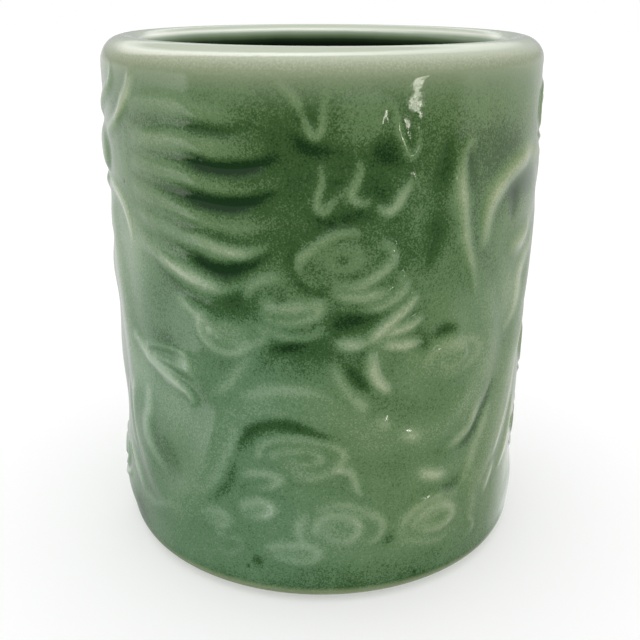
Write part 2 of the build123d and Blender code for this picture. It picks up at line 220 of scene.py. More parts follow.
CLOUD_LINES = [
    ([(8, 107.6), (4.4, 107.9), (0, 105.8), (-3.4, 102.7), (-5.4, 100.8), (-5.3, 98.4), (-3.9, 95.9),
      (-1.7, 95)], 0.9, 0.7),
    ([(13.8, 105.1), (16.1, 102.7), (15.5, 99.6), (12.7, 97.1), (9.9, 95), (6.6, 94.4), (1.6, 95)], 0.8, 0.9),
    ([(3, 92.3), (8, 91.4), (12, 92), (16, 93.6)], 1.1, 0.6),
    ([(17.2, 96.5), (19.1, 94), (17.7, 91), (13.3, 88.5), (8.8, 87.6), (4.4, 88.5)], 1.0, 0.55),
    ([(-9.7, 96.5), (-14.7, 94.7), (-17.2, 91.6), (-16.9, 89.1)], 0.9, 0.55),
    ([(-13.4, 90.6), (-12, 88.4), (-7, 88.6), (-2.4, 89.4), (-0.2, 90.6), (-1, 87), (-6.9, 84.5),
      (-12.6, 85)], 1.0, 0.65),
    ([(-12.5, 82.6), (-8, 80.8), (-1.9, 81.8), (2.5, 85.4)], 1.0, 0.45),
    ([(-29.7, 84.2), (-30.3, 81.1), (-29.2, 78.1), (-25.3, 75.3), (-20.8, 75), (-17.5, 77.4), (-13, 80.5),
      (-14.2, 83), (-18, 83.3)], 0.9, 0.6),
    ([(-15.3, 45.7), (-14.2, 50), (-8.6, 51.9), (-0.3, 51.3), (5.3, 48.2), (4.2, 43.9), (-0.3, 42),
      (-5.8, 41.7)], 0.9, 0.55),
    ([(-12.5, 46.3), (-8.6, 48.8), (-3, 49.1), (-0.3, 47), (-1.9, 45.1), (-6.9, 44.8)], 0.8, 0.4),
    ([(-20.2, 39.8), (-15.3, 40.8), (-9.7, 39.9), (-13, 37), (-18, 35.9)], 0.9, 0.5),
    ([(-8.6, 43.3), (-3.6, 41.4), (0, 41.7), (3.6, 43.3)], 0.8, 0.5),
    ([(-3.4, 28.6), (-5.6, 24.3), (-4.4, 20.4), (-0.6, 17.2)], 0.9, 0.55),
    ([(-0.8, 31), (4.4, 32.2), (9.4, 30.4), (13, 27.6), (15.5, 24.9), (14.4, 21.2), (10.1, 18.6)], 0.9, 0.6),
    ([(-1.7, 23.6), (0, 28), (4.4, 29.2), (8.8, 26.7), (9.4, 23), (6.4, 20), (1.6, 20.4)], 0.8, 0.6),
    ([(23.8, 22.4), (26.6, 25.5), (31, 27), (35.5, 24.9), (36.6, 21.8), (33.3, 19.9), (27.7, 19.9),
      (24.4, 21.4)], 0.8, 0.6),
    ([(19.8, 20), (21.6, 24.6), (25.4, 27.7), (30.5, 29.2), (37.7, 27.1)], 0.9, 0.5),
    ([(21, 18.8), (26.6, 16.3), (32.2, 15), (37.7, 17.5)], 0.9, 0.4),
    ([(-31.6, 23.7), (-28, 27), (-24.4, 23.7), (-28, 20.6), (-31.4, 23.2)], 0.8, 0.4),
    ([(-21, 28.6), (-15.3, 32.4), (-12, 30.4), (-16, 27), (-21, 26.6)], 1.0, 0.6),
    ([(-13.6, 17.6), (-8.6, 19.3), (-1.4, 18.5), (-0.6, 15.6), (-5.8, 14.2), (-12, 14.8)], 0.9, 0.4),
    ([(25.5, 72.3), (27.7, 74.7), (33.3, 76), (40.5, 74.7), (41.6, 71), (37.7, 67.3), (32.2, 66.7),
      (27.7, 68.6), (25.4, 71.4)], 0.9, 0.45),
    ([(42.8, 26), (44.6, 22), (42.6, 18)], 0.9, 0.4),
]  # fmt: skip
BODY_RIDGES = [
    ([(-16, 74.7), (-19.5, 71), (-22, 67), (-25, 63.5), (-29, 61)], 1.4, 0.45),
    ([(2.2, 73.5), (5.5, 66.7), (9.9, 61.2)], 1.0, 0.6),
    ([(7.4, 64.4), (9.4, 62), (10.6, 59.8)], 1.3, 0.7),
    ([(13.6, 57.6), (16.4, 54.6)], 1.3, 0.55),
    ([(20, 51.8), (24.6, 50.4)], 1.3, 0.7),
    ([(-19, 63.4), (-14, 65.4), (-8, 66.4), (-2, 65.8), (3, 64)], 1.0, 0.6),
    ([(-19, 55), (-22.5, 47.6), (-25.6, 39.6), (-29, 33.6), (-33, 31)], 1.2, 0.35),
    ([(33.4, 44.6), (37.7, 46.4), (41, 48.9), (42.2, 53.2), (44.4, 57)], 0.8, 1.0),
    ([(25.6, 38.8), (29, 37), (33.6, 35.4)], 1.4, 1.0),
    ([(-50.8, 56.4), (-51.4, 49.4), (-53, 44.5), (-52.5, 40.2), (-49.7, 35.9), (-45.8, 32.2)], 1.5, 0.9),
    ([(-58.2, 55), (-60.2, 49.4), (-61.7, 42), (-60.3, 37), (-56.9, 33.4), (-53, 31)], 1.5, 0.95),
    ([(-66, 51), (-67.6, 43), (-66.6, 36), (-63, 31)], 1.6, 0.9),
    ([(-69.7, 28.1), (-65.3, 24.9), (-62, 21.8), (-58.7, 18.5)], 1.8, 1.0),
    ([(-60, 17.5), (-53, 17.5), (-46.9, 20.1), (-42.3, 22.4)], 1.1, 0.45),
]  # fmt: skip
FOOT_LINES = [
    ([(9.4, 78.6), (13, 81.4), (16.5, 84.6), (19.9, 87.6), (22.4, 90.4)], 1.9, 1.0),
    ([(12, 80.4), (16.5, 81.7), (20.5, 82.8), (24.4, 85)], 1.6, 0.85),
    ([(12, 78.9), (16.5, 78.3), (20.5, 77.9), (24, 78.6)], 1.6, 0.8),
    ([(11, 79.6), (7, 79.2), (2.8, 79.8)], 1.6, 0.85),
    ([(11.2, 79), (12.5, 74.8), (12.5, 71), (13.8, 67.4), (16.6, 64.3)], 2.0, 0.6),
    ([(3.3, 43.3), (6.6, 42.4), (8, 40.2), (8.6, 37.2), (9.9, 34)], 1.0, 0.75),
    ([(-55.8, 71), (-51.4, 67.9), (-44.7, 65.1), (-39.2, 62.4), (-35.2, 60.3), (-33.5, 57.9)], 2.1, 1.1),
    ([(-38, 70), (-35.4, 69.2), (-33.8, 67)], 1.6, 0.8),
]  # fmt: skip
TAIL_RIDGES = [
    ([(35.5, 128.5), (34, 126), (33, 121), (33, 118), (34.1, 112.5), (35.2, 103.9), (37.2, 97.8),
      (39.7, 87.9)], 1.3, 0.8),
    ([(32.8, 121), (33, 117)], 1.2, 0.5),
    ([(34.8, 106), (35.4, 102)], 1.8, 0.8),
    ([(41.6, 101.9), (42.2, 108.8), (43.8, 113.1), (46.6, 116.2), (49.9, 118.7), (55.5, 120.5),
      (62.7, 121.8), (75, 119)], 3.1, 0.8),
    ([(54, 97.4), (58, 97.4), (66, 100.6)], 2.4, 0.5),
    ([(70, 95.3), (64, 92), (60, 88), (59.4, 82.4), (57, 77), (53.3, 73.5)], 2.3, 0.75),
    ([(69.4, 74.3), (65.5, 67), (63.8, 60)], 2.4, 0.85),
    ([(63.8, 60), (60, 48.3), (56, 41), (53, 34.8)], 2.0, 0.75),
    ([(48.2, 52.4), (43.3, 41), (40.5, 33.5), (37.7, 28.6)], 1.6, 0.55),
    ([(53, 31), (50.6, 27), (48.8, 22.7)], 1.2, 0.7),
    ([(66, 46), (63.3, 35.7), (60.4, 30.8), (57.2, 27.4)], 1.8, 0.8),
]  # fmt: skip
HOLLOWS = [
    ([(-20.8, 46), (-19, 51), (-15.8, 54.6), (-9.7, 56.4), (-3.6, 54.8), (2.2, 51.6)], 1.7, 0.9),
    ([(-21.2, 45), (-23.6, 37), (-27, 31.4), (-31, 29)], 1.4, 0.5),
    ([(5.4, 73.4), (8.4, 69), (12, 65.6)], 1.6, 0.8),
    ([(0.6, 84), (4, 84.6), (8.4, 86), (13, 86.6)], 2.4, 0.7),
    ([(-4, 78.6), (-9, 77.6), (-13, 76.8)], 1.2, 0.8),
    ([(-46, 73), (-42, 73.6), (-37.5, 73.4)], 2.2, 0.75),
    ([(49.4, 59.5), (46.4, 52.6), (42, 46), (37, 42.4)], 1.7, 0.7),
    ([(31, 31.4), (35.6, 31.6), (39.6, 34)], 2.0, 0.45),
    ([(-45, 43), (-41, 37.4), (-39, 32)], 2.4, 0.7),
    ([(27, 78.6), (31, 80), (34.6, 79)], 1.5, 0.9),
    ([(24.6, 80.6), (25.4, 74)], 1.7, 0.45),
    ([(-17.6, 12.2), (-15, 12.4)], 1.8, 0.8),
    ([(16.6, 21.4), (18.6, 18.2)], 2.2, 0.5),
    ([(29, 128), (28, 120), (27.6, 112), (26.5, 104), (25, 97)], 3.9, 0.6),
    ([(51.5, 113.6), (54.4, 110.4), (53.6, 105)], 2.6, 0.6),
    ([(34, 127), (36, 121), (37, 114)], 1.5, 0.45),
    ([(-10, 90.6), (-8.2, 90.8)], 1.1, 0.6),
    ([(-2, 92.4), (-5, 96), (-7, 101), (-6, 105)], 1.4, 0.6),
    ([(0.6, 93), (-1.6, 91.8)], 1.4, 0.6),
    ([(3, 101), (6, 100.6)], 1.4, 0.35),
    ([(8, 110.6), (3.6, 110.8), (-1, 109)], 1.6, 0.3),
    ([(-1, 46.6), (-4, 47)], 1.0, 0.3),
    ([(-4.4, 138), (-2, 133.6)], 1.6, 0.5),
    ([(-6.6, 131.6), (-3.6, 128.4), (1.6, 127.4), (5, 126.6)], 1.5, 0.6),
    ([(11.6, 130), (13.6, 126.6), (16.6, 124.4)], 2.4, 0.35),
    ([(10.4, 121), (12.8, 117.6), (15, 119)], 2.4, 0.35),
    ([(2.6, 121), (3.4, 119)], 1.6, 0.4),
    ([(-3, 111.8), (2, 110.6), (8, 112.4), (12, 111)], 1.5, 0.45),
    ([(-56, 133), (-57.6, 126), (-57, 118)], 1.1, 0.4),
]  # fmt: skip
# Ovals on the wall: (angle, height, half angle, half height, amount)
LOBES = [
    (5.4, 101, 9, 6, 0.5), (11, 91, 7, 3.4, 0.45), (-8, 88, 8, 5, 0.45), (-21, 80, 8, 4.6, 0.45),
    (-5, 46.6, 9, 4.6, 0.45), (5, 24.4, 9.6, 7, 0.5), (30.4, 22.4, 9, 6, 0.45), (-28, 23.7, 4.6, 4, 0.35),
    (-16, 29.6, 4, 3, 0.4), (-7, 16.6, 6.4, 2.8, 0.35), (33.4, 71.4, 8, 4.6, 0.4), (8.5, 134, 6.2, 7, 0.35),
    (-80, 20, 12, 13, 1.7), (78, 30, 8, 9, -0.8), (80, 12, 9, 8, 0.9), (76, 108, 10, 9, 0.6),
    (-33.6, 68.4, 3, 4, 0.3), (58, 84, 9, 9, 0.4), (-79, 10, 9, 6, 1.2), (-79, 85, 9, 8, 1.2),
    (-79, 56, 9, 12, 0.9),
]  # fmt: skip
DARK_GLAZE = [
    (2, 118, 36, 21, 0.19), (-12, 127, 9, 12, 0.12), (4, 126, 12, 8, 0.08), (-7, 131, 5, 6, 0.06),
    (15, 128, 6, 5, 0.10), (25, 107, 4, 9, 0.06), (-22, 91, 6, 5, 0.20), (1, 79, 10, 6, 0.12),
    (40, 100, 8, 20, 0.03), (4, 8, 28, 5, 0.09), (-8, 76, 13, 6, 0.14), (-28, 112, 8, 10, 0.08),
    (-18, 116, 6, 6, 0.10), (-18, 87, 6, 5, 0.10), (6, 88, 10, 6, 0.13), (18, 102, 6, 6, 0.11),
    (-6, 49, 9, 5, 0.14), (-7, 62, 9, 5, 0.07), (30, 128, 7, 6, 0.09), (48, 125, 11, 8, 0.10),
    (-48, 60, 16, 60, 0.09), (-45, 32, 12, 14, 0.10), (54, 112, 6, 6, 0.08), (42, 8, 12, 6, 0.08),
    (0, 4.6, 75, 2.4, 0.10), (66, 114, 6, 6, 0.12), (2, 140, 24, 6, 0.08), (68, 127, 6, 6, 0.06),
    (-146, 112, 26, 22, 0.16), (166, 118, 30, 18, 0.14), (122, 106, 20, 24, 0.14), (96, 84, 20, 16, 0.08),
    (-112, 78, 24, 26, 0.12), (-174, 62, 30, 22, 0.12), (128, 66, 18, 18, 0.10), (-120, 130, 26, 10, 0.10),
    (62, 114, 10, 5, 0.22), (-66, 9, 8, 5, 0.30), (-66, 55, 7, 11, 0.18), (48, 126, 12, 7, 0.10),
    (2, 104, 26, 20, 0.06),
]  # fmt: skip
THIN_GLAZE = [
    (-34, 52, 14, 12, 0.03), (48, 60, 8, 14, 0.03), (54, 80, 7, 10, 0.07), (28, 39, 6, 4, 0.08),
    (8, 18, 14, 6, 0.06), (-58, 90, 7, 18, 0.10), (-54, 60, 6, 8, 0.20), (30, 114, 5, 5, 0.05),
    (-42, 60, 8, 10, 0.14), (-54, 100, 6, 8, 0.12), (-40, 30, 12, 14, 0.08), (66, 60, 6, 5, 0.12),
    (66, 30, 6, 9, 0.12), (30, 88, 6, 4, 0.05), (-30, 90, 6, 5, 0.08), (-31, 80, 6, 5, 0.08),
    (-54, 95, 7, 14, 0.12), (-54, 62, 7, 8, 0.12), (-67, 95, 6, 12, 0.12), (30, 114, 6, 6, 0.12),
    (-42, 35, 9, 34, 0.07),
]  # fmt: skip
PINHOLES = [(-28.5, 124.5), (-57, 114.5), (-19, 10), (25, 6.5), (96, 88), (-150, 104), (170, 64)]


HAIR_PLACES = (0.15, 0.38, 0.62, 0.85)  # shares of the way from one groove to the next
HAIR_LEAD = (-11, 1.5)  # from a strand's first place between the grooves back to its end
HAIR_HALF_WIDTH, HAIR_STRENGTH = 0.55, 0.3


def mane_hairs():
    """Fine strands at the left of the mane, that lie between each groove and the next."""
    lines = []
    for upper, lower in zip(MANE_GROOVES, MANE_GROOVES[1:]):
        pairs = list(zip(upper[0], lower[0]))[:3]
        for share in HAIR_PLACES:
            points = [(a + (c - a) * share, b + (d - b) * share) for (a, b), (c, d) in pairs]
            points.insert(0, (points[0][0] + HAIR_LEAD[0], points[0][1] + HAIR_LEAD[1]))
            lines.append((points, HAIR_HALF_WIDTH, HAIR_STRENGTH))
    return lines


RIDGE_ROOT, HOLLOW_ROOT = 0.6, 0.3  # the width of a line's near end, as a share


def drawn(lines, root=RIDGE_ROOT):
    """A map with lines on it."""
    wall = blank()
    for points, half_width, strength in lines:
        draw(wall, points, half_width, strength, root=root)
    return wall


def ovals(places):
    """A map with soft oval patches on it."""
    wall = blank()
    for place in places:
        hump(wall, *place)
    return wall


DRAWN_CLOUDS_WITHIN = 50  # degrees to each side of the front, where drawn lines add to the clouds
DRAWN_CLOUDS_SHARE = 0.45  # how much the CAD's clouds show there


def cad_relief():
    """The CAD's raised motifs, softened as if under a thick glaze, each kind by its own share."""
    relief = blank()
    for part, share, softness in DRAGON_PARTS:
        relief += share * blur(node_heights(f"front_{part}", f"back_{part}"), softness)
    pearls = node_heights("flaming_pearls")  # a broad dome each, with a clear edge
    relief += 0.25 * blur(pearls, 2.5) + 0.5 * blur(np.minimum(pearls, 0.4), 0.6)
    clouds = blur(node_heights("front_clouds", "back_clouds"), 0.5)
    relief += clouds * np.where(np.abs(ANGLES) < DRAWN_CLOUDS_WITHIN, DRAWN_CLOUDS_SHARE, 1.0)
    return relief


LINE_HEIGHT = 0.45  # millimetres that a ridge or a hollow of strength 1 adds or takes
PINHOLE_SIZE = 0.4  # half size of a pinhole, in degrees and in millimetres
PINHOLE_DEPTH = 0.15  # millimetres
PLAIN_DEPTH = 0.44  # the glaze's depth on plain wall
# How the depth changes: by millimetres below the wall around, on drawn lines, and by millimetres of a lobe
POOLING, LINE_DEPTH, LOBE_DEPTH, PINHOLE_DARKNESS = 0.34, 0.30, 0.16, 0.5


def relief_maps():
    """The skin's height over the plain wall in millimetres, and its glaze's depth, 0 thin to 1 pooled."""
    # Each kind of line has its own softness in millimetres, and the softest ridges are made taller to match
    crisp = blur(drawn(HEAD_LINES + FLAME_LINES + FOOT_LINES), 0.45)
    soft = blur(drawn(MANE_RIDGES + TAIL_RIDGES + CLOUD_LINES + BODY_RIDGES), 0.8)
    ridges = crisp + 1.3 * soft + blur(drawn(mane_hairs()), 0.3)
    hollows = blur(drawn(MANE_GROOVES + HOLLOWS, HOLLOW_ROOT) * shallower_at_left(), 0.7)
    lobes = ovals(LOBES)
    pits = ovals([(*place, PINHOLE_SIZE, PINHOLE_SIZE, 1.0) for place in PINHOLES])

    clay = cad_relief() + LINE_HEIGHT * (ridges - hollows) + blur(lobes, 0.8) + waviness()
    height = (blur(clay, 0.35) - PINHOLE_DEPTH * pits) * wall_fade()[:, None]
    depth = PLAIN_DEPTH + POOLING * (blur(clay, 3.5) - blur(clay, 0.5)) - LINE_DEPTH * (ridges - hollows)
    depth += ovals(DARK_GLAZE) - ovals(THIN_GLAZE) - LOBE_DEPTH * lobes + PINHOLE_DARKNESS * pits
    return height, depth


def smooth(share):
    """Eases a share that goes from 0 to 1."""
    return share * share * (3 - 2 * share)


SHALLOW_TO, FULL_FROM = -34, -27  # degrees
SHALLOW_SHARE = 0.35
LEFT_SIDE = -80  # degrees, beyond which they are whole again


def shallower_at_left():
    """The hollows' share of their depth: less where the wall turns away at the left of the front."""
    rise = smooth(np.clip((ANGLES - SHALLOW_TO) / (FULL_FROM - SHALLOW_TO), 0, 1))
    return np.where(ANGLES < LEFT_SIDE, 1.0, SHALLOW_SHARE + (1 - SHALLOW_SHARE) * rise)


WAVE_STRENGTH = 7.0  # of the noise before it is softened
WAVE_SOFTNESS = 9  # millimetres


def waviness():
    """The slight unevenness of a hand-finished wall, in millimetres."""
    chance = np.random.default_rng(7)
    return WAVE_STRENGTH * blur(chance.normal(size=(ROWS, COLUMNS)), WAVE_SOFTNESS)


RELIEF_FROM = GLAZE_BOTTOM + BASE_CORNER * 0.4  # the relief's lowest and highest heights
RELIEF_TO = HEIGHT - 3.5
FADE = 5  # millimetres over which it rises from either


def wall_fade():
    """1 on the straight wall, and 0 at the lip and at the base."""
    return smooth(np.clip(np.minimum(HEIGHTS - RELIEF_FROM, RELIEF_TO - HEIGHTS) / FADE, 0, 1))


# Meshes
def arc(centre, size, start, end, count):
    """Points (radius, height) along a part of an ellipse, without its last point."""
    turns = np.radians(np.linspace(start, end, count, endpoint=False))
    return [(centre[0] + size[0] * math.cos(t), centre[1] + size[1] * math.sin(t)) for t in turns]


def outer_profile():
    """From the foot, round the base and up the outside wall to the crest of the lip."""
    corner_centre = (WALL_RADIUS - BASE_CORNER, GLAZE_BOTTOM + BASE_CORNER)
    start = -math.degrees(math.acos((FOOT_RADIUS - corner_centre[0]) / BASE_CORNER))
    lip_centre = (WALL_RADIUS - LIP_OUTER[0], HEIGHT - LIP_OUTER[1])
    straight = round((lip_centre[1] - corner_centre[1]) / ROW_STEP)
    heights = np.linspace(corner_centre[1], lip_centre[1], straight, endpoint=False)
    profile = arc(corner_centre, (BASE_CORNER, BASE_CORNER), start, 0, 16)
    profile += [(WALL_RADIUS, z) for z in heights]
    profile += arc(lip_centre, LIP_OUTER, 0, 90, 28)
    return profile + [(CREST_RADIUS, HEIGHT)]


NEAR_AXIS = 0.1  # the radius where the floor's coat ends, so that no face shrinks to a line


def inner_profile():
    """From the crest down the inside wall to the middle of the floor."""
    lip_centre = (CAVITY_RADIUS + LIP_INNER[0], HEIGHT - LIP_INNER[1])
    floor_centre = (CAVITY_RADIUS - FLOOR_FILLET, FLOOR_TOP + FLOOR_FILLET)
    profile = [(CREST_RADIUS, HEIGHT)]
    profile += arc(lip_centre, LIP_INNER, 90, 180, 20)
    profile += [(CAVITY_RADIUS, z) for z in np.linspace(lip_centre[1], floor_centre[1], 40, endpoint=False)]
    profile += arc(floor_centre, (FLOOR_FILLET, FLOOR_FILLET), 0, -90, 12)
    return profile + [(r, FLOOR_TOP) for r in np.linspace(floor_centre[0], NEAR_AXIS, 14)]


def offset_profile(profile, distance):
    """The same line moved to its left by distance, for the side of a coat that lies on the clay."""
    p = np.array(profile)
    along = np.gradient(p, axis=0)
    along /= np.linalg.norm(along, axis=1)[:, None]
    return p + distance * np.stack([-along[:, 1], along[:, 0]], axis=1)


BACK_ROWS = 40  # about how many rows are kept of a tall skin's hidden side


def closed_skin(name, front, back, columns):
    """A closed shell between two surfaces, each given as a (rows, columns, 3) array of points."""
    rows = len(front)
    if rows > 2 * BACK_ROWS:
        back = back[:: rows // BACK_ROWS]
    loop = np.concatenate([front, back[::-1]])
    vertices = loop.reshape(-1, 3)
    number = np.arange(len(vertices)).reshape(len(loop), columns)
    following = np.roll(number, -1, axis=0)
    corners = [number, np.roll(number, -1, axis=1), np.roll(following, -1, axis=1), following]
    faces = np.stack(corners, axis=-1).reshape(-1, 4)
    mesh = bpy.data.meshes.new(name)
    mesh.from_pydata(vertices * MM, [], faces.tolist())
    mesh.shade_smooth()
    piece = bpy.data.objects.new(name, mesh)
    bpy.context.scene.collection.objects.link(piece)
    return piece


def round_about(profile, columns, out=0.0):
    """Turns a profile into points round the axis, moved outwards by out."""
    angles = np.radians(-180 + 360 * np.arange(columns) / columns)
    p = np.array(profile)
    radius = np.repeat(p[:, :1], columns, axis=1) + out
    height = np.repeat(p[:, 1:], columns, axis=1)
    return np.stack([radius * np.sin(angles), -radius * np.cos(angles), height], axis=-1)


def at_heights(wall, heights):
    """A map's values at other heights, one row for each."""
    row = np.clip(np.asarray(heights) / ROW_STEP, 0, ROWS - 1.001)
    low = row.astype(int)
    share = (row - low)[:, None]
    return wall[low] * (1 - share) + wall[low + 1] * share


def outer_skin():
    """The glaze over the wall and the relief, with its depth as a value at each point."""
    height, depth = relief_maps()
    profile = outer_profile()
    heights = [z for _, z in profile]
    front = round_about(profile, COLUMNS, at_heights(height, heights))
    back = round_about(offset_profile(profile, GLAZE), COLUMNS)
    piece = closed_skin("celadon_skin", front, back, COLUMNS)
    values = np.full(len(piece.data.vertices), 0.5, np.float32)
    values[: front.shape[0] * COLUMNS] = at_heights(depth, heights).ravel()
    attribute = piece.data.attributes.new("glaze_depth", "FLOAT", "POINT")
    attribute.data.foreach_set("value", values)
    return piece


def inner_skin():
    """The smooth glaze inside."""
    profile = inner_profile()
    columns = COLUMNS // 4
    front = round_about(profile, columns)
    back = round_about(offset_profile(profile, GLAZE), columns)
    return closed_skin("inner_skin", front, back, columns)


# Materials
def new_material(name):
    material = bpy.data.materials.new(name)
    material.use_nodes = True
    nodes = material.node_tree.nodes
    return material, nodes, material.node_tree.links, nodes["Principled BSDF"]


def add_node(nodes, kind, **settings):
    node = nodes.new(kind)
    for key, value in settings.items():
        if key in node.inputs:
            node.inputs[key].default_value = value
        else:
            setattr(node, key, value)
    return node


def srgb(red, green, blue):
    """A colour picked as 0 to 255 display values, as linear values."""
    channels = [c / 255 for c in (red, green, blue)]
    return [c / 12.92 if c <= 0.04045 else ((c + 0.055) / 1.055) ** 2.4 for c in channels] + [1.0]


def noise(nodes, links, position, scale, detail, roughness=0.5):
    node = add_node(nodes, "ShaderNodeTexNoise", Scale=scale, Detail=detail, Roughness=roughness)
    links.new(position, node.inputs["Vector"])
    return node.outputs["Fac"]


def calc(nodes, links, operation, *values, clamp=False):
    node = nodes.new("ShaderNodeMath")
    node.operation = operation
    node.use_clamp = clamp
    for socket, value in zip(node.inputs, values):
        if isinstance(value, (int, float)):
            socket.default_value = value
        else:
            links.new(value, socket)
    return node.outputs[0]


def rising(nodes, links, value, start, end):
    """0 where the value is at start or before it, and 1 where it is at end or past it."""
    run = end - start
    return calc(nodes, links, "MULTIPLY_ADD", value, 1 / run, -start / run, clamp=True)


def ramp(nodes, links, value, stops, blend):
    node = nodes.new("ShaderNodeValToRGB")
    node.color_ramp.interpolation = blend
    elements = node.color_ramp.elements
    while len(elements) < len(stops):
        elements.new(0.5)
    for element, (place, colour) in zip(elements, stops):
        element.position = place
        element.color = colour
    links.new(value, node.inputs["Fac"])
    return node.outputs["Color"]


def mix(nodes, links, share, first, second, blend="MIX"):
    node = nodes.new("ShaderNodeMix")
    node.data_type = "RGBA"
    node.blend_type = blend
    sockets = [s for s in node.inputs if s.name == "Factor" and s.type == "VALUE"][:1]
    sockets += [s for s in node.inputs if s.name in ("A", "B") and s.type == "RGBA"]
    for socket, value in zip(sockets, (share, first, second)):
        if isinstance(value, (int, float, list, tuple)):
            socket.default_value = value
        else:
            links.new(value, socket)
    return [s for s in node.outputs if s.type == "RGBA"][0]


def grey(nodes, links, level):
    """A colour with one level in all three channels."""
    colour = add_node(nodes, "ShaderNodeCombineColor")
    for channel in ("Red", "Green", "Blue"):
        links.new(level, colour.inputs[channel])
    return colour.outputs["Color"]


def object_place(nodes, links):
    """The place on the object in metres, whole and split into X, Y and Z."""
    position = add_node(nodes, "ShaderNodeTexCoord").outputs["Object"]
    split = add_node(nodes, "ShaderNodeSeparateXYZ")
    links.new(position, split.inputs[0])
    return position, split.outputs


# The glaze's colour by its depth
GLAZE_COLOURS = [
    (0.0, srgb(160, 168, 136)), (0.23, srgb(126, 143, 107)), (0.46, srgb(96, 121, 82)),
    (0.70, srgb(54, 82, 42)), (0.95, srgb(20, 48, 18)),
]  # fmt: skip
# The outside's and the inside's colour by millimetres below the rim; the inside's has painted light in it
OUTER_LIP = [
    (0.0, srgb(186, 195, 174)), (1.6, srgb(190, 197, 178)), (2.6, srgb(179, 185, 162)),
    (3.6, srgb(160, 168, 142)), (5.0, srgb(142, 152, 122)), (7.0, srgb(130, 144, 113)),
    (9.8, srgb(120, 138, 106)), (13.0, srgb(111, 134, 98)), (16.0, srgb(98, 122, 86)),
]  # fmt: skip
# Painted highlight at 1.3 mm, where the inner rounding would mirror the lamp, and painted shade below 3.5 mm,
# nearly black at 7 to 9 mm, that eases to a dark green glaze by 16 mm
INNER_LIP_HIGHLIGHT_AND_SHADE = [
    (0.0, srgb(186, 195, 174)), (0.8, srgb(192, 201, 181)), (1.3, srgb(222, 225, 212)),
    (1.8, srgb(188, 197, 178)), (2.4, srgb(138, 154, 132)), (3.5, srgb(92, 110, 80)),
    (4.6, srgb(36, 54, 31)), (5.6, srgb(17, 30, 13)), (7.0, srgb(8, 16, 6)),
    (9.0, srgb(10, 19, 7)), (16.0, srgb(38, 60, 32)),
]  # fmt: skip
LIP_REACH = 16.0  # millimetres


def below_rim(nodes, links, height):
    """Millimetres below the rim as a share of the lip's reach."""
    return rising(nodes, links, height, HEIGHT * MM, (HEIGHT - LIP_REACH) * MM)


def lip_ramp(nodes, links, share, stops):
    return ramp(nodes, links, share, [(down / LIP_REACH, colour) for down, colour in stops], "LINEAR")


def glossy_finish(nodes, links, shader, position):
    """A thick, smooth glaze: a soft swell and a very fine orange peel."""
    swell = noise(nodes, links, position, 150, 2)
    peel = noise(nodes, links, position, 2200, 1)
    height = calc(nodes, links, "ADD", swell, calc(nodes, links, "MULTIPLY", peel, 0.05))
    bump = add_node(nodes, "ShaderNodeBump", Strength=0.22, Distance=0.0004)
    links.new(height, bump.inputs["Height"])
    links.new(bump.outputs["Normal"], shader.inputs["Normal"])
    links.new(calc(nodes, links, "MULTIPLY_ADD", peel, 0.06, 0.03), shader.inputs["Roughness"])
    shader.inputs["IOR"].default_value = 1.5


GLAZE_NOISES = [(45, 0.22), (110, 0.16), (1200, 0.26), (2300, 0.60)]  # (scale, amount), patches to fine grain
DRIFT_RIGHT, DRIFT_UP = 4.0, 3.2  # how the colour drifts from blue to olive by metres to the right and up
BLUE_UP_TO, OLIVE_FROM = 0.4475, 1.0725
BLUER, MORE_OLIVE = [0.87, 1.03, 1.18, 1], [1.03, 1.02, 0.93, 1]
LIP_CURVE, LIP_GAIN = 1.5, 1.7  # how fast the lip's own colours take over towards the rim
SPECKLE = 0.9  # how far the lip's colours are broken up, as a share of the way below the rim
WIPED_BELOW, WIPED_FULLY, WIPED_SHARE = 0.0052, 0.0038, 0.55  # metres up, and the paler colour's share


def celadon():
    """Translucent green glaze over pale clay: pale where thin, dark where it pools, and cream at the lip."""
    material, nodes, links, shader = new_material("celadon_glaze")
    position, place = object_place(nodes, links)
    depth = add_node(nodes, "ShaderNodeAttribute", attribute_name="glaze_depth").outputs["Fac"]
    for scale, amount in GLAZE_NOISES:
        patch = noise(nodes, links, position, scale, 2, 0.55)
        patch = calc(nodes, links, "MULTIPLY_ADD", patch, amount, -amount / 2)
        depth = calc(nodes, links, "ADD", depth, patch)
    colour = ramp(nodes, links, depth, GLAZE_COLOURS, "EASE")

    # Bluer towards the left and the foot, and more olive towards the right and the rim, in drifting patches
    patch = noise(nodes, links, position, 16, 1)
    drift = calc(nodes, links, "MULTIPLY_ADD", place["X"], DRIFT_RIGHT, patch)
    drift = calc(nodes, links, "MULTIPLY_ADD", place["Z"], DRIFT_UP, drift)
    olive = rising(nodes, links, drift, BLUE_UP_TO, OLIVE_FROM)
    tint = mix(nodes, links, olive, BLUER, MORE_OLIVE)
    colour = mix(nodes, links, 1.0, colour, tint, "MULTIPLY")

    share = below_rim(nodes, links, place["Z"])
    near_rim = calc(nodes, links, "POWER", calc(nodes, links, "SUBTRACT", 1.0, share), LIP_CURVE)
    near_rim = calc(nodes, links, "MULTIPLY", near_rim, LIP_GAIN, clamp=True)
    speck = noise(nodes, links, position, 1900, 2, 0.55)
    speckled = calc(nodes, links, "MULTIPLY_ADD", speck, -SPECKLE, SPECKLE / 2)
    speckled = calc(nodes, links, "ADD", share, calc(nodes, links, "MULTIPLY", speckled, share))
    colour = mix(nodes, links, near_rim, colour, lip_ramp(nodes, links, speckled, OUTER_LIP))

    # Thin at the very bottom, where it was wiped off the foot
    low = rising(nodes, links, place["Z"], WIPED_BELOW, WIPED_FULLY)
    colour = mix(nodes, links, calc(nodes, links, "MULTIPLY", low, WIPED_SHARE), colour, srgb(150, 160, 122))
    links.new(colour, shader.inputs["Base Color"])
    glossy_finish(nodes, links, shader, position)
    return material


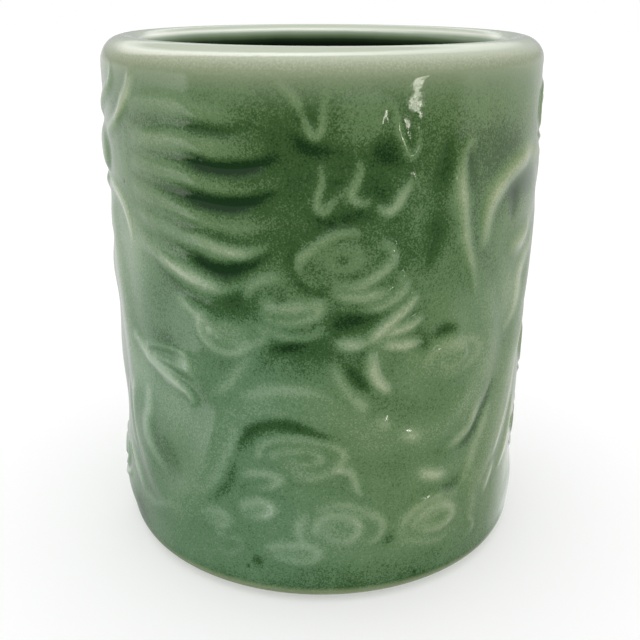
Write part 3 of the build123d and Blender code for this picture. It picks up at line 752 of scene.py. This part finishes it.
CLOUDINESS = 0.2  # how far the lining's colours wander up and down, as a share of the way below the rim
DEEP_SHINE, FULL_SHINE = 0.05, 0.5  # the lining's specular level deep inside and at the lip
SHINE_AT_RIM, SHINE_FALL = 0.9, -6.5  # it falls in a straight line, which starts above the full level


def lining_celadon():
    """The same glaze inside: the pale lip, a painted highlight on its inner rounding, and painted shade below
    it.
    """
    material, nodes, links, shader = new_material("lining_glaze")
    position, place = object_place(nodes, links)
    share = below_rim(nodes, links, place["Z"])
    cloudy = noise(nodes, links, position, 60, 3, 0.55)
    cloudy = calc(nodes, links, "MULTIPLY_ADD", cloudy, CLOUDINESS, -CLOUDINESS / 2)
    share = calc(nodes, links, "ADD", share, calc(nodes, links, "MULTIPLY", cloudy, share))
    # The ramp paints a highlight on the inner rounding and shade below it, down the inside
    links.new(lip_ramp(nodes, links, share, INNER_LIP_HIGHLIGHT_AND_SHADE), shader.inputs["Base Color"])
    glossy_finish(nodes, links, shader, position)
    shine = calc(nodes, links, "MULTIPLY_ADD", share, SHINE_FALL, SHINE_AT_RIM)
    shine = calc(nodes, links, "MAXIMUM", calc(nodes, links, "MINIMUM", shine, FULL_SHINE), DEEP_SHINE)
    links.new(shine, shader.inputs["Specular IOR Level"])
    return material


def thin_celadon():
    """A thin wiped coat under the base."""
    material, nodes, links, shader = new_material("thin_glaze")
    position, _ = object_place(nodes, links)
    cloudy = noise(nodes, links, position, 70, 4, 0.6)
    colour = mix(nodes, links, cloudy, srgb(168, 182, 152), srgb(128, 150, 114))
    links.new(colour, shader.inputs["Base Color"])
    glossy_finish(nodes, links, shader, position)
    return material


# Painted shadow: the bare clay from just under the glaze's edge upwards is darkened for the gap's shadow
GAP_SHADOW_FROM, GAP_SHADOW_FULLY, GAP_SHADOW_SHARE = 0.0011, 0.0014, 0.9  # metres up, and its strength
RUST_FROM = 0.375  # of the bloom's noise, up to 1


def biscuit():
    """Bare fired clay: matt and pale, with fine grit, a faint rusty bloom and painted shadow under the
    glaze's edge.
    """
    material, nodes, links, shader = new_material("bare_porcelain")
    position, place = object_place(nodes, links)
    grit = noise(nodes, links, position, 1400, 3, 0.7)
    bloom = noise(nodes, links, position, 60, 4, 0.6)
    bloom = rising(nodes, links, bloom, RUST_FROM, 1.0)
    base = mix(nodes, links, bloom, srgb(226, 219, 203), srgb(201, 170, 136))
    shade = grey(nodes, links, calc(nodes, links, "MULTIPLY_ADD", grit, 0.35, 0.82))
    base = mix(nodes, links, 1.0, base, shade, "MULTIPLY")
    # Painted shadow of the gap under the glaze's edge: a dark brown band on the clay
    gap_shadow = rising(nodes, links, place["Z"], GAP_SHADOW_FROM, GAP_SHADOW_FULLY)
    gap_shadow = calc(nodes, links, "MULTIPLY", gap_shadow, GAP_SHADOW_SHARE)
    base = mix(nodes, links, gap_shadow, base, srgb(74, 62, 46))
    links.new(base, shader.inputs["Base Color"])
    bump = add_node(nodes, "ShaderNodeBump", Strength=0.5, Distance=0.0002)
    links.new(grit, bump.inputs["Height"])
    links.new(bump.outputs["Normal"], shader.inputs["Normal"])
    shader.inputs["Roughness"].default_value = 0.82
    return material


def dress(node, material):
    """Gives a CAD node's object a material."""
    slots = frame["nodes"][node].data.materials
    slots.clear()
    slots.append(material)


# The object
outside_glaze = celadon()
clay = biscuit()

skin = outer_skin()
skin.data.materials.append(outside_glaze)
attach(skin, "root")
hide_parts("outer_glaze", *RELIEF_NODES)

lining = inner_skin()
lining.data.materials.append(lining_celadon())
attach(lining, "root")
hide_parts("inner_glaze")

dress("underside_glaze", thin_celadon())
for clay_node in ("body_wall", "base_slab", "foot_ring"):
    dress(clay_node, clay)


# The studio
# What the glaze mirrors, as (degrees round from the front, brightness), level with it and low down
MIRRORED = [
    (-180, 1.0), (-172, 0.7), (-165, 0.65), (-145, 1.0), (-120, 1.0), (-98, 0.85), (-88, 1.05),
    (-71, 1.6), (-67, 0.14), (0, 0.10), (68, 0.10), (76, 0.8), (100, 0.75), (120, 0.8), (145, 0.8),
    (165, 0.6), (180, 1.0),
]  # fmt: skip
MIRRORED_LOW = [
    (-180, 0.6), (-145, 0.5), (-120, 0.45), (-95, 0.25), (-78, 0.16), (-60, 0.10), (68, 0.10), (85, 0.3),
    (120, 0.55), (145, 1.15), (180, 1.0),
]  # fmt: skip
BRIGHTEST = 2.0
DARKEST, UPPER = [0.1, 0.1, 0.1, 1], [0.42, 0.43, 0.44, 1]  # what it mirrors near the ground and above it
# The degrees of elevation over which each of these takes over from the walls level with the pot
LOW_WALLS, GROUND, ABOVE = (-22, -32), (-35.2, -43.2), (-1.8, 4.2)
GROUND_SHARE = 0.7
LAMP = 7.0
LAMP_PLANE = 0.82  # how far the overhead strip lies from the middle, along the way that it faces
LAMP_FACES = (-0.15, 0.65, 0.76)  # that way's parts to the right, towards the back and upwards
LAMP_HALF, LAMP_SOFT = 0.05, 0.07  # half its breadth, and its soft edge, the same way
LAMP_HEIGHTS = (0.248, 1.0)  # where it is out and where it is full, by the part upwards
LAMP_SIDES = (0.818, -0.091)  # the same, by the part to the right
# A narrow leaning window: degrees round and up of its middle, its half sizes and soft edges, and its lean
WINDOW, WINDOW_HALF, WINDOW_SOFT, WINDOW_LEAN = (49.4, -6.6), (0.4, 1.4), (0.4, 0.3), 2.57
WINDOW_LIGHT = [34, 33, 29, 1]


def inside_band(nodes, links, value, centre, half, soft):
    """1 within half of the centre, falling to 0 over soft."""
    away = calc(nodes, links, "ABSOLUTE", calc(nodes, links, "SUBTRACT", value, centre))
    return rising(nodes, links, away, half + soft, half)


def studio_walls(nodes, links, azimuth, levels):
    """The brightness round about, from (degrees, brightness) stops."""
    share = calc(nodes, links, "MULTIPLY_ADD", azimuth, 1 / 360, 0.5)
    stops = [((angle + 180) / 360, [level / BRIGHTEST] * 3 + [1]) for angle, level in levels]
    walls = ramp(nodes, links, share, stops, "LINEAR")
    return mix(nodes, links, 1.0, walls, [BRIGHTEST] * 3 + [1], "MULTIPLY")


def overhead_strip(nodes, links, toward):
    """A strip of light from one side over the pot to the other, weaker at the right and low down."""
    along = 0.0
    for axis, part in zip("XYZ", LAMP_FACES):
        along = calc(nodes, links, "MULTIPLY_ADD", toward[axis], part, along)
    strip = inside_band(nodes, links, along, LAMP_PLANE, LAMP_HALF, LAMP_SOFT)
    high = rising(nodes, links, toward["Z"], *LAMP_HEIGHTS)
    leftward = rising(nodes, links, toward["X"], *LAMP_SIDES)
    return calc(nodes, links, "MULTIPLY", calc(nodes, links, "MULTIPLY", strip, high), leftward)


def leaning_window(nodes, links, azimuth, elevation):
    """1 in the window and 0 outside it."""
    leaning = calc(nodes, links, "MULTIPLY_ADD", elevation, -WINDOW_LEAN, azimuth)
    middle = WINDOW[0] - WINDOW_LEAN * WINDOW[1]
    across = inside_band(nodes, links, leaning, middle, WINDOW_HALF[0], WINDOW_SOFT[0])
    up = inside_band(nodes, links, elevation, WINDOW[1], WINDOW_HALF[1], WINDOW_SOFT[1])
    return calc(nodes, links, "MULTIPLY", across, up)


def mirrored_studio(nodes, links, azimuth, elevation, toward):
    """A dim front, bright sides, a strip lamp and a window, which only the glaze's reflections see."""
    level = studio_walls(nodes, links, azimuth, MIRRORED)
    lower = studio_walls(nodes, links, azimuth, MIRRORED_LOW)
    walls = mix(nodes, links, rising(nodes, links, elevation, *LOW_WALLS), level, lower)
    ground = calc(nodes, links, "MULTIPLY", rising(nodes, links, elevation, *GROUND), GROUND_SHARE)
    walls = mix(nodes, links, ground, walls, DARKEST)
    walls = mix(nodes, links, rising(nodes, links, elevation, *ABOVE), walls, UPPER)
    walls = mix(nodes, links, overhead_strip(nodes, links, toward), walls, [LAMP, LAMP, LAMP, 1])
    return mix(nodes, links, leaning_window(nodes, links, azimuth, elevation), walls, WINDOW_LIGHT)


SOFT_LEVEL, SOFT_OVERHEAD = 0.78, 0.6  # the soft light level with the pot, and what is added straight above


def world_light():
    """White towards the camera, and soft all-round light, strongest from above, on everything else."""
    world = bpy.data.worlds.new("studio")
    world.use_nodes = True
    bpy.context.scene.world = world
    nodes, links = world.node_tree.nodes, world.node_tree.links
    split = add_node(nodes, "ShaderNodeSeparateXYZ")
    links.new(add_node(nodes, "ShaderNodeTexCoord").outputs["Generated"], split.inputs[0])
    toward = split.outputs
    toward_front = calc(nodes, links, "MULTIPLY", toward["Y"], -1.0)
    azimuth = calc(nodes, links, "DEGREES", calc(nodes, links, "ARCTAN2", toward["X"], toward_front))
    elevation = calc(nodes, links, "DEGREES", calc(nodes, links, "ARCSINE", toward["Z"]))
    upward = calc(nodes, links, "MAXIMUM", toward["Z"], 0.0)
    soft = grey(nodes, links, calc(nodes, links, "MULTIPLY_ADD", upward, SOFT_OVERHEAD, SOFT_LEVEL))
    ray = add_node(nodes, "ShaderNodeLightPath").outputs
    mirrored = mirrored_studio(nodes, links, azimuth, elevation, toward)
    colour = mix(nodes, links, ray["Is Glossy Ray"], soft, mirrored)
    colour = mix(nodes, links, ray["Is Camera Ray"], colour, [1, 1, 1, 1])
    links.new(colour, nodes["Background"].inputs["Color"])
    nodes["Background"].inputs["Strength"].default_value = 1.0


FLOOR_GREY, FLOOR_GLOW = 0.6, 0.36


def floor():
    """A white sheet that the glaze doesn't mirror, so that its reflections come from the studio alone."""
    size = 3.0  # metres to each side
    mesh = bpy.data.meshes.new("floor")
    corners = [(-size, -size, 0), (size, -size, 0), (size, size, 0), (-size, size, 0)]
    mesh.from_pydata(corners, [], [(0, 1, 2, 3)])
    plane = bpy.data.objects.new("floor", mesh)
    plane.visible_glossy = False
    bpy.context.scene.collection.objects.link(plane)
    material, _, _, shader = new_material("studio_floor")
    shader.inputs["Base Color"].default_value = (FLOOR_GREY, FLOOR_GREY, FLOOR_GREY, 1)
    shader.inputs["Emission Color"].default_value = (1, 1, 1, 1)
    shader.inputs["Emission Strength"].default_value = FLOOR_GLOW
    shader.inputs["Roughness"].default_value = 0.8
    mesh.materials.append(material)


CAMERA_PLACE = (-0.0005, -0.2706, 0.1645)
CAMERA_DOWN, CAMERA_ROLL = 20.78, 0.15  # degrees


def camera():
    """Standing in front of the pot at about twice its width from the axis, and looking down on it."""
    data = bpy.data.cameras.new("camera")
    data.sensor_width = 36
    data.lens = 50.2
    data.clip_start = 0.01
    view = bpy.data.objects.new("camera", data)
    view.location = CAMERA_PLACE
    view.rotation_mode = "QUATERNION"
    pitch, roll = math.radians(90 - CAMERA_DOWN), math.radians(CAMERA_ROLL)
    view.rotation_quaternion = Quaternion((1, 0, 0), pitch) @ Quaternion((0, 0, 1), roll)
    bpy.context.scene.collection.objects.link(view)
    bpy.context.scene.camera = view


world_light()
floor()
camera()
bpy.context.scene.view_settings.view_transform = "Standard"
